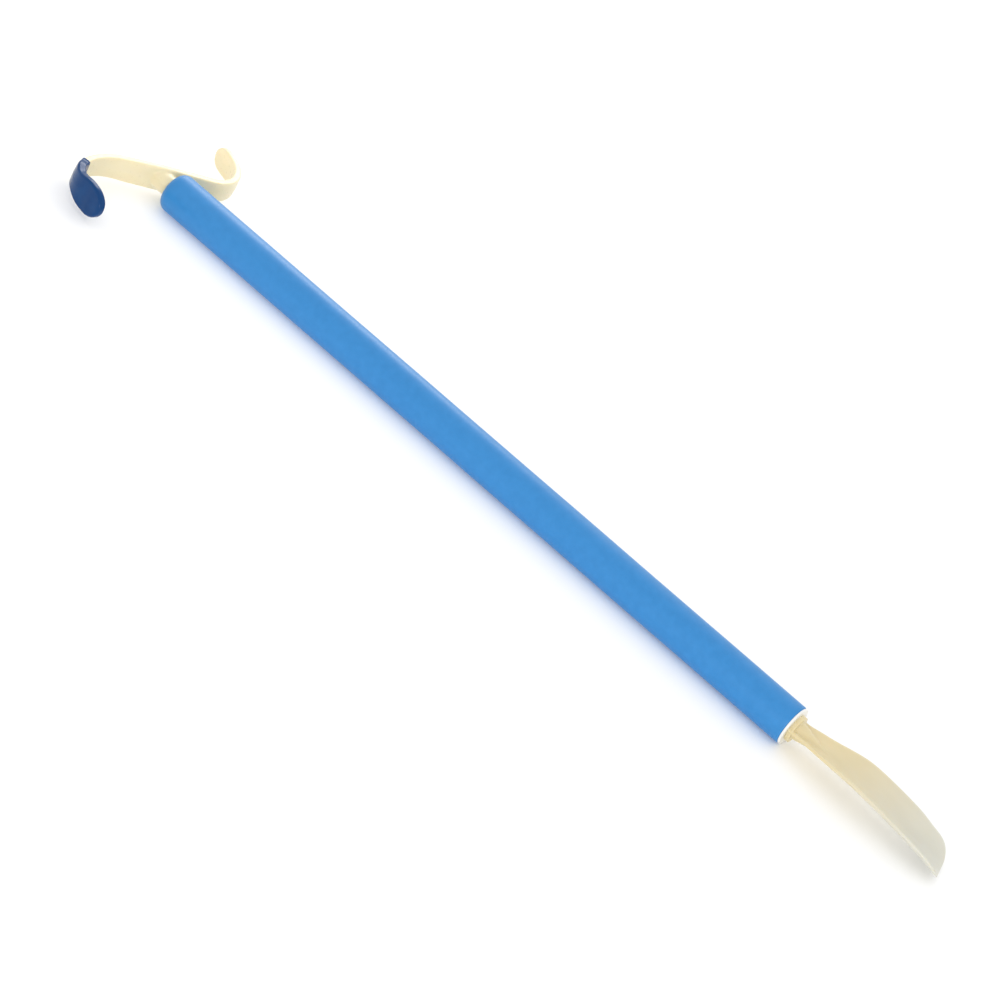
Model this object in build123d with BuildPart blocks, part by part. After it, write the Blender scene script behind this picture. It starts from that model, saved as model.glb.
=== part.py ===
"""Foam-grip dressing stick for putting on and taking off socks, with an S-hook head and a shoehorn.

The stick lies flat: X runs along it towards the hook head, Y towards the pull hook, Z up.
The S of the head lies in the XY plane and the shoehorn's hollow side looks up.
The origin is under the middle of the whole stick, on the surface it lies on.
"""
import os
from math import asin, cos, radians, sin

from build123d import *

# ---- driving dimensions, in millimetres and degrees ----
OVERALL_LENGTH = 892.0          # the 35 inch class

FOAM_OD = 35.0
FOAM_END_ROUND = 7.5
FOAM_GAP = 0.05                 # radial gap between the foam and the tube

TUBE_OD = 19.0
TUBE_WALL = 1.2
TUBE_INSET = 1.0                # the tube ends this far inside the foam at the head
STEM_GAP = 0.1                  # radial gap between a moulded stem and the tube
STEM_LENGTH = 45.0              # of each stem inside the tube

PIN_DIAMETER = 4.0              # slotted spring pin through tube and stem
PIN_BORE = 2.2
PIN_SLOT = 0.6
PIN_GAP = 0.05
PIN_DEPTH = 22.0                # from the tube's end to the pin
PIN_RECESS = 0.2                # of each end below the tube's outside

RING_OD = 34.0                  # end ring between the foam and the shoehorn
RING_WIDTH = 2.0
RING_ROUND = 0.6

# S-shaped head: one strap, wide along Z, bent in the XY plane
S_CENTRE = 15.0                 # from the foam's end to where the strap crosses the axis
S_HEADING = 52.0                # the strap's direction there, from +X towards +Y
ROOT_WIDTH = 22.6               # where the strap crosses the axis
ROOT_THICKNESS = 8.0
ROOT_TAPER = 78.0               # along each arm, down to the strap's own width and thickness
STRAP_WIDTH = 18.6
STRAP_THICKNESS = 6.9           # at the faint ridge along the middle of its faces
STRAP_EDGE_SHARE = 0.86         # its thickness at the edges, as a share of that
STRAP_CORNER = 1.2
CORNER_LIMIT = 0.45             # most of the edge's thickness that a corner radius may take
# each arm: a straight, arcs of (radius, turn), a straight tip; its end has a width, the length of its
# rounding, and the distances from the end between which it widens
PULL_ARM = 35.9
PULL_BENDS = ((48.5, 48.6), (26.4, 37.1), (33.0, 27.0))
PULL_TIP = 25.9
PULL_END = {"width": 25.0, "round": 17.0, "flare": (23.0, 40.0)}
PUSH_ARM = 43.8
PUSH_BENDS = ((31.5, 106.2),)
PUSH_TIP = 22.5
PUSH_END = {"width": 20.8, "round": 12.5, "flare": (11.0, 39.0)}
TIP_THICKNESS = 5.7
TIP_EDGE_THINNING = 0.45        # a rounded end is thinned by this much less than it narrows
SECTION_STEP = 7.0              # spacing of the strap's cross-sections
NECK_DIAMETER = 18.0
NECK_OVERRUN = 10.0             # the neck runs past the strap and is cut off along it
GUSSET_THICKNESS = 9.0
GUSSET_REACH = 22.0             # along the strap, each side of the axis
GUSSET_DEPTH = 4.6              # within the strap

COVER_WALL = 0.95               # dipped cover on the pull hook's tip
COVER_LENGTH = 60.0

# shoehorn: a trough that widens from its root and dips towards its tip
HORN_REACH = 159.0              # from the ring to the furthest point of the tip
HORN_LENGTH = 156.7             # along the axis
HORN_ROOT_HALF_WIDTH = 11.6
HORN_HALF_WIDTH = 20.5
HORN_FLARE = 0.45               # share of its length over which it widens
HORN_ARC_RADIUS = 28.5          # across the trough
HORN_THICKNESS = 2.8
HORN_RISE = 1.5
HORN_DIP = 12.4                 # of the tip below the axis
HORN_EDGE_THINNING = 0.6        # the rounded end is thinned by this much less than it narrows
HORN_SECTIONS = 9
HORN_TIP_ROUND = 19.5           # length of the rounded end
HORN_TIP_POWER = 0.60           # 1 for an elliptical end, less for a squarer one
HORN_SKEW = 15.0                # the end is cut obliquely, further out on the pull hook's side
HORN_SKEW_START = 0.7           # share of its length from which its sections turn that way
SHOULDER_DIAMETER = 24.0
SHOULDER_LENGTH = 4.0
BOSS_LENGTH = 38.0
BOSS_TIP_DIAMETER = 2.4

TIP_ANGLES = (90, 72, 55, 40, 27, 15, 7)    # where a rounded tip has its sections

# ---- derived sizes and places ----
TUBE_ID = TUBE_OD - 2 * TUBE_WALL
STEM_DIAMETER = TUBE_ID - 2 * STEM_GAP
AXIS_Y = -2.80                  # puts the middle of the head's width at Y = 0
AXIS_Z = FOAM_OD / 2

first_radius, _ = PULL_BENDS[0]
HEAD_REACH = (
    S_CENTRE
    + PULL_ARM * cos(radians(S_HEADING))
    + first_radius * (1 - sin(radians(S_HEADING)))
    + STRAP_THICKNESS / 2
)
FOAM_HEAD_X = OVERALL_LENGTH / 2 - HEAD_REACH
TUBE_HEAD_X = FOAM_HEAD_X - TUBE_INSET
RING_X = -OVERALL_LENGTH / 2 + HORN_REACH
FOAM_HORN_X = RING_X + RING_WIDTH
S_ORIGIN = Vector(FOAM_HEAD_X + S_CENTRE, AXIS_Y, AXIS_Z)


def across(x, skew=0.0):
    """Plane across the stick at x: its local y is Z, and its local x is Y, turned towards -X by skew."""
    a = radians(skew)
    return Plane(origin=(x, AXIS_Y, AXIS_Z), x_dir=(-sin(a), cos(a), 0), z_dir=(cos(a), sin(a), 0))


def smooth(t):
    """Rises smoothly from 0 to 1 while t does."""
    t = min(max(t, 0.0), 1.0)
    return t * t * (3 - 2 * t)


def arm_path(heading, arm, bends, tip):
    """Centre line of one half of the S, from the axis to its tip."""
    direction = (cos(radians(heading)), sin(radians(heading)))
    with BuildLine(Plane(origin=S_ORIGIN)) as line:
        last = Line((0, 0), (arm * direction[0], arm * direction[1]))
        for radius, turn in bends:
            last = JernArc(last @ 1, last % 1, radius, turn)
        PolarLine(last @ 1, tip, direction=last % 1)
    return line.wire()


def strap_section(plane, width, thickness, corner):
    """Flat bar section: two faces with a faint ridge along their middle, and round corners."""
    side = width / 2
    edge = thickness / 2 * STRAP_EDGE_SHARE
    ridge = thickness / 2
    outline = [(side, -edge), (side, edge), (0, ridge), (-side, edge), (-side, -edge), (0, -ridge)]
    with BuildSketch(plane) as section:
        with BuildLine():
            Polyline(*outline, close=True)
        make_face()
        corners = section.vertices().filter_by(lambda v: abs(v.X) > side / 2)
        fillet(corners, corner)
    return section.sketch


def strap_size(s, rest, tip, extra):
    """Width and thickness of the strap at s from the axis and rest from its end, grown all round by extra."""
    near, far = tip["flare"]
    root = 1 - smooth(s / ROOT_TAPER)
    end = smooth((far - rest) / (far - near))
    width = STRAP_WIDTH + (ROOT_WIDTH - STRAP_WIDTH) * root + (tip["width"] - STRAP_WIDTH) * end
    thickness = STRAP_THICKNESS + (ROOT_THICKNESS - STRAP_THICKNESS) * root
    thickness += (TIP_THICKNESS - STRAP_THICKNESS) * end
    return width + 2 * extra, thickness + 2 * extra


def strap_stations(length, start, rounding):
    """Distances along the path for the sections, and each one's share of the full width."""
    straight = length - rounding - start
    count = max(2, round(straight / SECTION_STEP))
    stations = [(start + straight * i / count, 1.0) for i in range(count)]
    for angle in TIP_ANGLES:
        a = radians(angle)
        stations.append((length - rounding * (1 - cos(a)), sin(a)))
    return stations


def strap_sections(path, tip, extra=0.0, start=0.0):
    """Sections of the strap along a path, from start to a rounded tip, grown all round by extra."""
    length = path.length
    sections = []
    for s, share in strap_stations(length, start, tip["round"]):
        width, thickness = strap_size(s, length - s, tip, extra)
        width *= share
        thickness = min(thickness * min(1.0, TIP_EDGE_THINNING + share), width)
        along = path.tangent_at(s / length)
        here = path.position_at(s / length) + along * extra * smooth(s / length)
        corner = min(STRAP_CORNER + extra, thickness * STRAP_EDGE_SHARE * CORNER_LIMIT)
        plane = Plane(origin=here, x_dir=(0, 0, 1), z_dir=along)
        sections.append(strap_section(plane, width, thickness, corner))
    return sections


def horn_half_width(u):
    """Half the chord of the trough at a share u of the blade's length."""
    return HORN_ROOT_HALF_WIDTH + (HORN_HALF_WIDTH - HORN_ROOT_HALF_WIDTH) * smooth(u / HORN_FLARE)


def horn_height(u):
    """Height of the trough's bottom above the axis."""
    return HORN_RISE * u - (HORN_RISE + HORN_DIP) * u**3


def horn_section(plane, half_width, bottom, thickness):
    """Curved band with round edges, hollow side up."""
    half = asin(half_width / HORN_ARC_RADIUS)
    centre = bottom + HORN_ARC_RADIUS
    inner = HORN_ARC_RADIUS - thickness / 2
    outer = HORN_ARC_RADIUS + thickness / 2
    cap = thickness / 2 / HORN_ARC_RADIUS

    def at(radius, angle):
        return radius * sin(angle), centre - radius * cos(angle)

    with BuildSketch(plane) as section:
        with BuildLine():
            for radius in (inner, outer):
                ThreePointArc(at(radius, -half), at(radius, 0), at(radius, half))
            for side in (half, -half):
                tip = at(HORN_ARC_RADIUS, side * (1 + cap / half))
                ThreePointArc(at(inner, side), tip, at(outer, side))
        make_face()
    return section.sketch


def horn_sections():
    """Sections of the shoehorn's blade, from the ring to its rounded tip."""
    body_end = 1 - HORN_TIP_ROUND / HORN_LENGTH
    stations = [(body_end * i / HORN_SECTIONS, 1.0) for i in range(HORN_SECTIONS)]
    for angle in TIP_ANGLES:
        a = radians(angle)
        back = HORN_TIP_ROUND * (1 - cos(a) ** HORN_TIP_POWER)
        stations.append((1 - back / HORN_LENGTH, sin(a) ** HORN_TIP_POWER))
    sections = []
    for u, share in stations:
        skew = HORN_SKEW * smooth((u - HORN_SKEW_START) / (body_end - HORN_SKEW_START))
        plane = across(RING_X - u * HORN_LENGTH, skew)
        thickness = HORN_THICKNESS * min(1.0, HORN_EDGE_THINNING + share)
        sections.append(horn_section(plane, horn_half_width(u) * share, horn_height(u), thickness))
    return sections


def pin_hole(x):
    """Cross hole for a spring pin, along Z through the axis at x."""
    with Locations(Location((x, AXIS_Y, AXIS_Z))):
        Cylinder(PIN_DIAMETER / 2, FOAM_OD, mode=Mode.SUBTRACT)


pull_path = arm_path(S_HEADING, PULL_ARM, PULL_BENDS, PULL_TIP)
push_path = arm_path(S_HEADING + 180, PUSH_ARM, PUSH_BENDS, PUSH_TIP)
head_pin_x = TUBE_HEAD_X - PIN_DEPTH
horn_pin_x = FOAM_HORN_X + PIN_DEPTH

# ---- core tube ----
with BuildPart() as core_tube:
    with BuildSketch(across(FOAM_HORN_X)):
        Circle(TUBE_OD / 2)
        Circle(TUBE_ID / 2, mode=Mode.SUBTRACT)
    extrude(amount=TUBE_HEAD_X - FOAM_HORN_X)
    for pin_x in (head_pin_x, horn_pin_x):
        pin_hole(pin_x)

# ---- foam sleeve ----
with BuildPart() as foam_sleeve:
    with BuildSketch(across(FOAM_HORN_X)):
        Circle(FOAM_OD / 2)
        Circle(TUBE_OD / 2 + FOAM_GAP, mode=Mode.SUBTRACT)
    extrude(amount=FOAM_HEAD_X - FOAM_HORN_X)
    head_rim = foam_sleeve.edges().group_by(Axis.X)[-1].sort_by(SortBy.LENGTH)[-1]
    fillet(head_rim, FOAM_END_ROUND)

# ---- end ring ----
with BuildPart() as end_ring:
    with BuildSketch(across(RING_X)):
        Circle(RING_OD / 2)
        Circle(STEM_DIAMETER / 2 + STEM_GAP, mode=Mode.SUBTRACT)
    extrude(amount=RING_WIDTH)
    rims = end_ring.edges().filter_by(GeomType.CIRCLE).sort_by(SortBy.LENGTH)[-2:]
    fillet(rims, RING_ROUND)

# ---- hook head: stem, neck and gusset behind the strap, then the two arms ----
with BuildPart() as hook_head:
    with BuildSketch(Plane(origin=S_ORIGIN).offset(-GUSSET_THICKNESS / 2)):
        with Locations((-S_CENTRE / 2, 0)):
            Rectangle(S_CENTRE, NECK_DIAMETER)
        Rectangle(2 * GUSSET_REACH, GUSSET_DEPTH, rotation=S_HEADING)
    extrude(amount=GUSSET_THICKNESS)
    with BuildSketch(across(TUBE_HEAD_X)):
        Circle(NECK_DIAMETER / 2)
    extrude(amount=S_CENTRE + NECK_OVERRUN)
    front = Vector(sin(radians(S_HEADING)), -cos(radians(S_HEADING)), 0)
    split(bisect_by=Plane(origin=S_ORIGIN, z_dir=front), keep=Keep.BOTTOM)
    with BuildSketch(across(TUBE_HEAD_X - STEM_LENGTH)):
        Circle(STEM_DIAMETER / 2)
    extrude(amount=STEM_LENGTH)
    push_sections = strap_sections(push_path, PUSH_END)
    pull_sections = strap_sections(pull_path, PULL_END)
    loft(push_sections[::-1] + pull_sections[1:])
    pin_hole(head_pin_x)

# ---- dipped cover on the pull hook ----
with BuildPart() as hook_tip_cover:
    cover_start = pull_path.length - COVER_LENGTH
    loft(strap_sections(pull_path, PULL_END, extra=COVER_WALL, start=cover_start))
    add(hook_head.part, mode=Mode.SUBTRACT)

# ---- shoehorn ----
with BuildPart() as shoehorn:
    loft(horn_sections())
    with BuildSketch(across(RING_X)):
        Circle(SHOULDER_DIAMETER / 2)
    extrude(amount=-SHOULDER_LENGTH)
    with BuildSketch(across(RING_X)):
        Circle(NECK_DIAMETER / 2)
    with BuildSketch(across(RING_X - BOSS_LENGTH)):
        Circle(BOSS_TIP_DIAMETER / 2)
    loft()
    with BuildSketch(across(RING_X)):
        Circle(STEM_DIAMETER / 2)
    extrude(amount=RING_WIDTH + STEM_LENGTH)
    pin_hole(horn_pin_x)


def spring_pin(x):
    """Slotted spring pin through the tube, just below its outside."""
    foot = AXIS_Z - TUBE_OD / 2 + PIN_RECESS
    with BuildPart() as pin:
        with BuildSketch(Plane(origin=(x, AXIS_Y, foot))):
            Circle(PIN_DIAMETER / 2 - PIN_GAP)
            Circle(PIN_BORE / 2, mode=Mode.SUBTRACT)
            with Locations((PIN_DIAMETER / 2, 0)):
                Rectangle(PIN_DIAMETER, PIN_SLOT, mode=Mode.SUBTRACT)
        extrude(amount=TUBE_OD - 2 * PIN_RECESS)
    return pin


head_pin = spring_pin(head_pin_x)
horn_pin = spring_pin(horn_pin_x)

# ---- export ----
os.makedirs("parts", exist_ok=True)
pieces = {
    "core_tube": core_tube,
    "foam_sleeve": foam_sleeve,
    "end_ring": end_ring,
    "hook_head": hook_head,
    "hook_tip_cover": hook_tip_cover,
    "shoehorn": shoehorn,
    "head_pin": head_pin,
    "horn_pin": horn_pin,
}
for label, piece in pieces.items():
    piece.part.label = label
    export_step(piece.part, f"parts/{label}.step")
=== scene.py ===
"""Looks of the foam-grip dressing stick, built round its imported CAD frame, in metres.

X runs along the stick towards the hook head, Y towards the pull hook, Z up. The foam, the two mouldings and
the dipped cover are detailed meshes that stand for their CAD solids; the tube, ring and pins keep their own.
"""
from math import cos, pi, radians, sin

import bpy
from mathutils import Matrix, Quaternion, Vector, noise


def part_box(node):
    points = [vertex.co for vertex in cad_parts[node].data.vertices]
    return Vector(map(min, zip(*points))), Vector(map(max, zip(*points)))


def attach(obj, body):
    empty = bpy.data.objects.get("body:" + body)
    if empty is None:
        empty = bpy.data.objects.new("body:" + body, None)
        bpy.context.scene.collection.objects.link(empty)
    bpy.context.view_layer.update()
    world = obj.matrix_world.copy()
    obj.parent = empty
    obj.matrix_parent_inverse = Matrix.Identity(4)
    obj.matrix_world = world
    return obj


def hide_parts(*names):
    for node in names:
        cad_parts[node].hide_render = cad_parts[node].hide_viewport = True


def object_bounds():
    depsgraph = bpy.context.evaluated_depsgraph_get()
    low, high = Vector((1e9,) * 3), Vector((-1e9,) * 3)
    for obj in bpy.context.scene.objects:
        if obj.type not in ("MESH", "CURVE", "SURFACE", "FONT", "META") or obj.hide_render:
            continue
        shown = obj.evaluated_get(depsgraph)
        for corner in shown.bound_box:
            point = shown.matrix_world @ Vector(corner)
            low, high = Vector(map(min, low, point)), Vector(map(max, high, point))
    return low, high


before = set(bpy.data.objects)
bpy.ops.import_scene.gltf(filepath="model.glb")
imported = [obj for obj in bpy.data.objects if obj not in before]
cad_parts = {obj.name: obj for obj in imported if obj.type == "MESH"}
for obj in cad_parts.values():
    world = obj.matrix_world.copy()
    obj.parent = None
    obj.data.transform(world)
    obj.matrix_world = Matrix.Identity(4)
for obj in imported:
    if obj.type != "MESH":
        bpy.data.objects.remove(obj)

CAD_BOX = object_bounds()
MM = 0.001

# ---- camera: at the side of the pull hook, looking down and rolled ----
VIEW_AZIMUTH = 198.55
VIEW_ELEVATION = 31.13
VIEW_ROLL = 31.13
VIEW_DISTANCE = 3.085
VIEW_LENS = 140.26
VIEW_SENSOR = 36                # mm, as the lens
VIEW_OFFSET = Vector((0.0083, 0.0100, -0.0112))     # of the aim from the middle of the object

# ---- foam sleeve ----
FOAM_AROUND = 160
FOAM_STEP = 4 * MM              # between rings of vertices
FOAM_HEAD_ROUND = 7.5 * MM
FOAM_HORN_ROUND = 1.2 * MM
FOAM_BORE_ROUND = 0.8 * MM
FOAM_BORE_GAP = 0.05 * MM       # between the bore and the tube
FOAM_BORE_RINGS = 40            # rings of vertices along the bore
FOAM_UNEVEN = 0.10 * MM         # slow swelling of the extruded skin
SWELL_RATE = 18                 # noise cells in a metre of foam
SWELL_AROUND = 0.8              # and how far the noise changes round it
SWELL_BELOW = 0.6               # keeps the swollen skin below the foam's full size

# ---- mouldings, rebuilt from the CAD surfaces with soft inner corners ----
VOXEL = 0.5 * MM
COVER_VOXEL = 0.34 * MM         # the cover is a thin shell
WELD = 0.001 * MM
SMOOTHING = 4                   # passes over a whole moulding
SMOOTH_FACTOR = 0.5
S_REACH = 15 * MM               # from the foam's end to the middle of the S
NECK_BLEND = 30 * MM            # round that point the neck flows into the strap
BOSS_REACH = 24 * MM            # from the ring to where the horn's boss sinks into the blade
BOSS_BLEND = 24 * MM
NECK_PASSES = 60                # of smoothing where the neck flows in
BOSS_PASSES = 34                # and where the boss does

# ---- light ----
WORLD_STRENGTH = 1.0
FLOOR_SIZE = 30.0


# ---------- small helpers ----------
def link(obj):
    bpy.context.scene.collection.objects.link(obj)
    return obj


def mesh_object(name, vertices, faces):
    mesh = bpy.data.meshes.new(name)
    mesh.from_pydata(vertices, [], faces)
    mesh.validate()
    mesh.shade_smooth()
    return link(bpy.data.objects.new(name, mesh))


def apply_modifiers(obj):
    """Replaces the object's mesh by its evaluated one."""
    graph = bpy.context.evaluated_depsgraph_get()
    mesh = bpy.data.meshes.new_from_object(obj.evaluated_get(graph))
    obj.modifiers.clear()
    obj.data = mesh
    mesh.shade_smooth()
    return obj


def remeshed(name, node, voxel):
    """Even mesh over a CAD node's surface, lightly smoothed, in a new object."""
    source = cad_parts[node]
    obj = link(bpy.data.objects.new(name, source.data.copy()))
    obj.data.materials.clear()
    weld = obj.modifiers.new("weld", "WELD")
    weld.merge_threshold = WELD
    remesh = obj.modifiers.new("remesh", "REMESH")
    remesh.mode = "VOXEL"
    remesh.voxel_size = voxel
    smooth = obj.modifiers.new("smooth", "SMOOTH")
    smooth.factor = SMOOTH_FACTOR
    smooth.iterations = SMOOTHING
    return apply_modifiers(obj)


def soften(obj, centre, radius, passes):
    """Extra smoothing near one place, which rounds the inner corners there."""
    group = obj.vertex_groups.new(name="soft")
    for v in obj.data.vertices:
        near = 1 - (v.co - centre).length / radius
        if near > 0:
            group.add([v.index], min(1.0, 2 * near), "REPLACE")
    smooth = obj.modifiers.new("soften", "SMOOTH")
    smooth.vertex_group = "soft"
    smooth.factor = SMOOTH_FACTOR
    smooth.iterations = passes
    apply_modifiers(obj)
    obj.vertex_groups.clear()


# ---------- materials ----------
class Material:
    """A Principled material with short ways to add procedural nodes, placed by object coordinates."""

    def __init__(self, name):
        self.material = bpy.data.materials.new(name)
        self.material.use_nodes = True
        self.tree = self.material.node_tree
        self.shader = self.tree.nodes["Principled BSDF"]
        self.place = self.node("ShaderNodeTexCoord").outputs["Object"]

    def node(self, kind, **settings):
        made = self.tree.nodes.new(kind)
        for key, value in settings.items():
            setattr(made, key, value)
        return made

    def join(self, source, target):
        self.tree.links.new(source, target)

    def set(self, **values):
        """Sets the shader's own sockets; an underscore stands for a space."""
        for key, value in values.items():
            self.shader.inputs[key.replace("_", " ")].default_value = value

    def stretched(self, scale):
        mapping = self.node("ShaderNodeMapping")
        mapping.inputs["Scale"].default_value = scale
        self.join(self.place, mapping.inputs["Vector"])
        return mapping.outputs["Vector"]

    def noise(self, scale, detail=3.0, roughness=0.5, place=None):
        made = self.node("ShaderNodeTexNoise")
        made.inputs["Scale"].default_value = scale
        made.inputs["Detail"].default_value = detail
        made.inputs["Roughness"].default_value = roughness
        self.join(place or self.place, made.inputs["Vector"])
        return made.outputs["Fac"]

    def cells(self, scale):
        made = self.node("ShaderNodeTexVoronoi", feature="SMOOTH_F1")
        made.inputs["Scale"].default_value = scale
        self.join(self.place, made.inputs["Vector"])
        return made.outputs["Distance"]

    def ramp(self, value, *stops):
        """Colour ramp through (position, colour) stops."""
        made = self.node("ShaderNodeValToRGB")
        elements = made.color_ramp.elements
        while len(elements) < len(stops):
            elements.new(0.5)
        for element, (position, colour) in zip(elements, stops):
            element.position = position
            element.color = (*colour, 1)
        self.join(value, made.inputs["Fac"])
        return made.outputs["Color"]

    def level(self, value, low, high, start=0.0, end=1.0):
        """Maps start..end of a value to low..high, clamped."""
        made = self.node("ShaderNodeMapRange", interpolation_type="SMOOTHSTEP")
        for key, number in (("From Min", start), ("From Max", end), ("To Min", low), ("To Max", high)):
            made.inputs[key].default_value = number
        self.join(value, made.inputs["Value"])
        return made.outputs["Result"]

    def mix(self, factor, first, second, blend="MIX"):
        made = self.node("ShaderNodeMix", data_type="RGBA", blend_type=blend)
        for socket, value in ((0, factor), (6, first), (7, second)):
            if isinstance(value, bpy.types.NodeSocket):
                self.join(value, made.inputs[socket])
            else:
                made.inputs[socket].default_value = value
        return made.outputs[2]

    def along(self, axis):
        split = self.node("ShaderNodeSeparateXYZ")
        self.join(self.place, split.inputs["Vector"])
        return split.outputs[axis]

    def colour(self, socket):
        self.join(socket, self.shader.inputs["Base Color"])

    def rough(self, socket):
        self.join(socket, self.shader.inputs["Roughness"])

    def bumps(self, *layers):
        """Chains bump layers of (height, distance in metres, strength)."""
        normal = None
        for height, distance, strength in layers:
            bump = self.node("ShaderNodeBump")
            bump.inputs["Distance"].default_value = distance
            bump.inputs["Strength"].default_value = strength
            self.join(height, bump.inputs["Height"])
            if normal is not None:
                self.join(normal, bump.inputs["Normal"])
            normal = bump.outputs["Normal"]
        self.join(normal, self.shader.inputs["Normal"])


def foam_material():
    """Blue closed-cell foam with a soft skin: mottled colour, fine cells, a velvety sheen."""
    m = Material("blue_foam")
    mottle = m.noise(160, 4)
    patches = m.noise(22, 2, place=m.stretched((0.25, 1, 1)))
    base = m.ramp(mottle, (0.3, (0.012, 0.204, 0.520)), (0.7, (0.018, 0.225, 0.562)))
    m.colour(m.mix(m.level(patches, 0.0, 0.2, 0.35, 0.65), base, (0.024, 0.238, 0.576, 1)))
    m.rough(m.level(m.noise(900, 2), 0.36, 0.48, 0.3, 0.7))
    m.set(Specular_IOR_Level=0.55, Sheen_Weight=0.05, Sheen_Roughness=0.45, Sheen_Tint=(0.55, 0.8, 1.0, 1))
    m.bumps(
        (m.noise(60, 2), 0.25 * MM, 0.25),
        (m.cells(1500), 0.09 * MM, 0.32),
        (m.noise(2600, 2), 0.05 * MM, 0.3),
    )
    return m.material


def cream_material():
    """Ivory polypropylene of the hook: slightly translucent, with faint flow marks and a moulded skin."""
    m = Material("cream_plastic")
    flow = m.noise(55, 3, place=m.stretched((0.6, 0.6, 1.6)))
    base = m.ramp(flow, (0.3, (0.85, 0.74, 0.47)), (0.7, (0.88, 0.78, 0.525)))
    m.colour(base)
    m.rough(m.level(m.noise(420, 3), 0.27, 0.37, 0.3, 0.7))
    m.set(
        Subsurface_Weight=0.35, Subsurface_Scale=2.6 * MM, Subsurface_Radius=(1.0, 0.82, 0.5),
        Specular_IOR_Level=0.5, Coat_Weight=0.08, Coat_Roughness=0.18,
    )
    m.bumps((m.noise(120, 2), 0.12 * MM, 0.18), (m.noise(1100, 3), 0.03 * MM, 0.22))
    return m.material


def horn_material():
    """The shoehorn's plastic: paler and greyer towards its thin tip; darker and more yellow at its thick
    root, where painted shade darkens its tone.
    """
    m = Material("horn_plastic")
    low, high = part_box("shoehorn")
    towards_tip = m.level(m.along("X"), 1.0, 0.0, low.x + 0.005, low.x + 0.150)
    flow = m.noise(40, 3, place=m.stretched((0.5, 1.3, 1.3)))
    # painted shade: the root colour is darker and more yellow than the hook's cream, standing for shade over
    # the horn's root
    root_tone_and_shade = m.ramp(flow, (0.3, (0.69, 0.585, 0.34)), (0.7, (0.72, 0.62, 0.38)))
    pale = m.ramp(flow, (0.3, (0.625, 0.615, 0.535)), (0.7, (0.66, 0.65, 0.57)))
    m.colour(m.mix(towards_tip, root_tone_and_shade, pale))
    m.rough(m.level(m.noise(380, 3), 0.30, 0.40, 0.3, 0.7))
    m.set(
        Subsurface_Weight=0.4, Subsurface_Scale=2.4 * MM, Subsurface_Radius=(1.0, 0.9, 0.65),
        Specular_IOR_Level=0.5, Coat_Weight=0.06, Coat_Roughness=0.2,
    )
    m.bumps((m.noise(90, 2), 0.12 * MM, 0.16), (m.noise(1000, 3), 0.03 * MM, 0.22))
    return m.material


def dip_material():
    """Navy dipped vinyl: glossy, with the slow waves that a dipped skin dries with."""
    m = Material("navy_vinyl")
    tone = m.noise(85, 3)
    m.colour(m.ramp(tone, (0.3, (0.002, 0.040, 0.148)), (0.7, (0.004, 0.052, 0.175))))
    m.rough(m.level(m.noise(300, 2), 0.17, 0.24, 0.3, 0.7))
    m.set(Specular_IOR_Level=0.14, Coat_Weight=0.1, Coat_Roughness=0.06)
    m.bumps((m.noise(60, 1), 0.5 * MM, 0.25), (m.noise(800, 2), 0.02 * MM, 0.12))
    return m.material


def ring_material():
    m = Material("white_ring")
    m.colour(m.ramp(m.noise(120, 3), (0.3, (0.80, 0.79, 0.75)), (0.7, (0.86, 0.85, 0.81))))
    m.rough(m.level(m.noise(700, 2), 0.28, 0.38, 0.3, 0.7))
    m.set(Specular_IOR_Level=0.5, Coat_Weight=0.1, Coat_Roughness=0.2)
    m.bumps((m.noise(1200, 2), 0.03 * MM, 0.2))
    return m.material


def metal_material(name, dark, light, grain):
    """Drawn metal with its grain along the given stretch."""
    m = Material(name)
    lines = m.noise(900, 3, place=m.stretched(grain))
    m.colour(m.ramp(lines, (0.3, dark), (0.7, light)))
    m.rough(m.level(lines, 0.26, 0.42, 0.3, 0.7))
    m.set(Metallic=1.0)
    m.bumps((lines, 0.02 * MM, 0.25))
    return m.material


# ---------- pieces ----------
def on_axis(x):
    """Point of the stick's axis at x."""
    low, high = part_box("foam_sleeve")
    return Vector((x, (low.y + high.y) / 2, (low.z + high.z) / 2))


def arc_points(centre_x, centre_r, radius, start, end, count):
    """Points (x, r) of an arc in the profile plane, angles in degrees from +x towards +r."""
    points = []
    for i in range(count + 1):
        a = radians(start + (end - start) * i / count)
        points.append((centre_x + radius * cos(a), centre_r + radius * sin(a)))
    return points


def foam_profile(x0, x1, outer, bore):
    """Closed profile of the sleeve: along the outside to the head end, and back in the bore."""
    h, f, b = FOAM_HEAD_ROUND, FOAM_HORN_ROUND, FOAM_BORE_ROUND
    count = round((x1 - x0) / FOAM_STEP)
    points = arc_points(x0 + f, outer - f, f, 180, 90, 5)
    side_length = x1 - h - x0 - f
    points += [(x0 + f + side_length * i / count, outer) for i in range(1, count)]
    points += arc_points(x1 - h, outer - h, h, 90, 0, 14)
    points += arc_points(x1 - b, bore + b, b, 0, -90, 4)
    bore_length = x1 - x0 - 2 * b
    points += [(x1 - b - bore_length * i / FOAM_BORE_RINGS, bore) for i in range(1, FOAM_BORE_RINGS)]
    points += arc_points(x0 + b, bore + b, b, 270, 180, 4)
    return points


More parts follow.
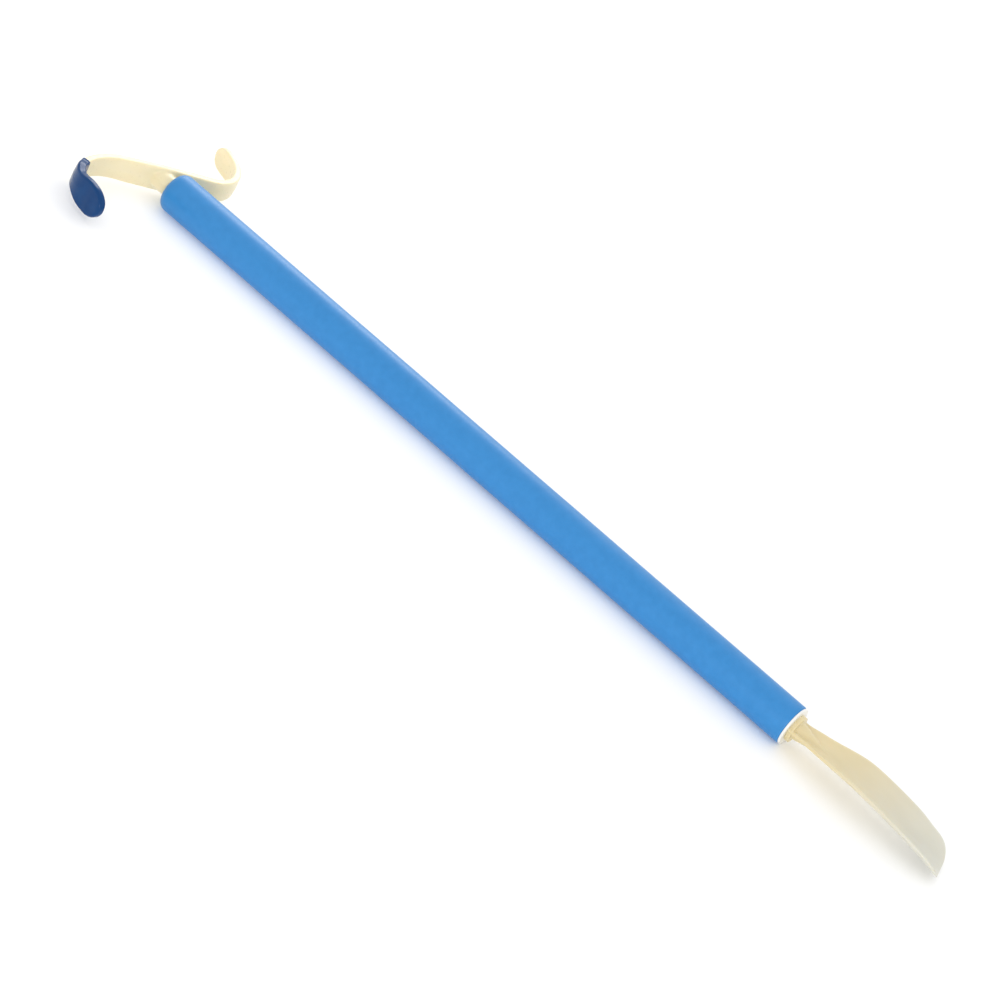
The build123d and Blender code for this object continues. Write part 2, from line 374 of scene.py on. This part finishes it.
def foam_sleeve():
    """The foam grip: rings of vertices round the axis, one for each point of the profile."""
    low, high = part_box("foam_sleeve")
    tube_low, tube_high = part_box("core_tube")
    axis = on_axis(0)
    outer = (high.y - low.y) / 2
    bore = (tube_high.z - tube_low.z) / 2 + FOAM_BORE_GAP
    profile = foam_profile(low.x, high.x, outer, bore)
    vertices = []
    for x, r in profile:
        depth = (r - bore) / (outer - bore)
        for j in range(FOAM_AROUND):
            a = 2 * pi * j / FOAM_AROUND
            place = Vector((x * SWELL_RATE, cos(a) * SWELL_AROUND, sin(a) * SWELL_AROUND))
            swell = noise.noise(place)
            radius = r + FOAM_UNEVEN * depth * (swell - SWELL_BELOW)
            vertices.append((x, axis.y + radius * cos(a), axis.z + radius * sin(a)))
    rings = len(profile)
    faces = []
    for i in range(rings):
        for j in range(FOAM_AROUND):
            k = (j + 1) % FOAM_AROUND
            n = (i + 1) % rings
            faces.append((
                i * FOAM_AROUND + j, n * FOAM_AROUND + j,
                n * FOAM_AROUND + k, i * FOAM_AROUND + k,
            ))
    obj = mesh_object("foam_grip", vertices, faces)
    obj.data.materials.append(foam_material())
    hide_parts("foam_sleeve")
    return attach(obj, "root")


def moulding(name, node, material, voxel=VOXEL):
    """A rebuilt moulding that stands for its CAD node."""
    obj = remeshed(name, node, voxel)
    obj.data.materials.append(material)
    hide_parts(node)
    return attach(obj, "root")


def finish_node(node, material):
    """A CAD node that keeps its own mesh gets its final material."""
    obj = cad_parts[node]
    obj.data.materials.clear()
    obj.data.materials.append(material)


# ---------- studio ----------
def area_light(name, place, size, power, target):
    data = bpy.data.lights.new(name, "AREA")
    data.shape = "RECTANGLE"
    data.size, data.size_y = size
    data.energy = power
    obj = link(bpy.data.objects.new(name, data))
    obj.location = place
    obj.rotation_mode = "QUATERNION"
    obj.rotation_quaternion = (Vector(target) - Vector(place)).to_track_quat("-Z", "Y")
    return obj


def view_turn():
    """The direction from the aim back to the camera, and the camera's rotation."""
    a, e = radians(VIEW_AZIMUTH), radians(VIEW_ELEVATION)
    back = Vector((sin(a) * cos(e), -cos(a) * cos(e), sin(e)))
    return back, Quaternion(back, radians(VIEW_ROLL)) @ (-back).to_track_quat("-Z", "Y")


def camera(centre):
    back, turn = view_turn()
    data = bpy.data.cameras.new("camera")
    data.lens = VIEW_LENS
    data.sensor_width = VIEW_SENSOR
    data.clip_start = 0.05
    data.clip_end = 100
    obj = link(bpy.data.objects.new("camera", data))
    obj.rotation_mode = "QUATERNION"
    obj.rotation_quaternion = turn
    obj.location = centre + VIEW_OFFSET + back * VIEW_DISTANCE
    bpy.context.scene.camera = obj


def studio():
    scene = bpy.context.scene
    scene.view_settings.view_transform = "Standard"
    world = bpy.data.worlds.new("studio")
    world.use_nodes = True
    background = world.node_tree.nodes["Background"]
    background.inputs["Color"].default_value = (1, 1, 1, 1)
    background.inputs["Strength"].default_value = WORLD_STRENGTH
    scene.world = world

    half = FLOOR_SIZE / 2
    corners = [(-half, -half, 0), (half, -half, 0), (half, half, 0), (-half, half, 0)]
    floor = mesh_object("floor", corners, [(0, 1, 2, 3)])
    m = Material("pale_floor")
    m.set(Base_Color=(0.96, 0.96, 0.96, 1), Roughness=0.9, Specular_IOR_Level=0.1)
    floor.data.materials.append(m.material)

    rim = area_light("rim", (0.85, -1.05, 0.75), (0.9, 0.5), 6.8, (0.2, 0, 0))
    rim.data.use_shadow = False
    area_light("front", (-1.1, 1.9, 0.5), (1.4, 0.5), 10.5, (0, 0, 0))


middle = (CAD_BOX[0] + CAD_BOX[1]) / 2
camera(middle)
studio()

foam_sleeve()
hook = moulding("hook_head_moulding", "hook_head", cream_material())
soften(hook, on_axis(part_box("foam_sleeve")[1].x + S_REACH), NECK_BLEND, NECK_PASSES)
horn = moulding("shoehorn_moulding", "shoehorn", horn_material())
soften(horn, on_axis(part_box("end_ring")[0].x - BOSS_REACH), BOSS_BLEND, BOSS_PASSES)
moulding("hook_tip_dip", "hook_tip_cover", dip_material(), COVER_VOXEL)

finish_node("end_ring", ring_material())
aluminium = metal_material("aluminium", (0.60, 0.61, 0.63), (0.74, 0.75, 0.77), (0.03, 1, 1))
finish_node("core_tube", aluminium)
steel = metal_material("steel", (0.45, 0.45, 0.46), (0.60, 0.60, 0.61), (1, 1, 0.05))
for pin in ("head_pin", "horn_pin"):
    finish_node(pin, steel)
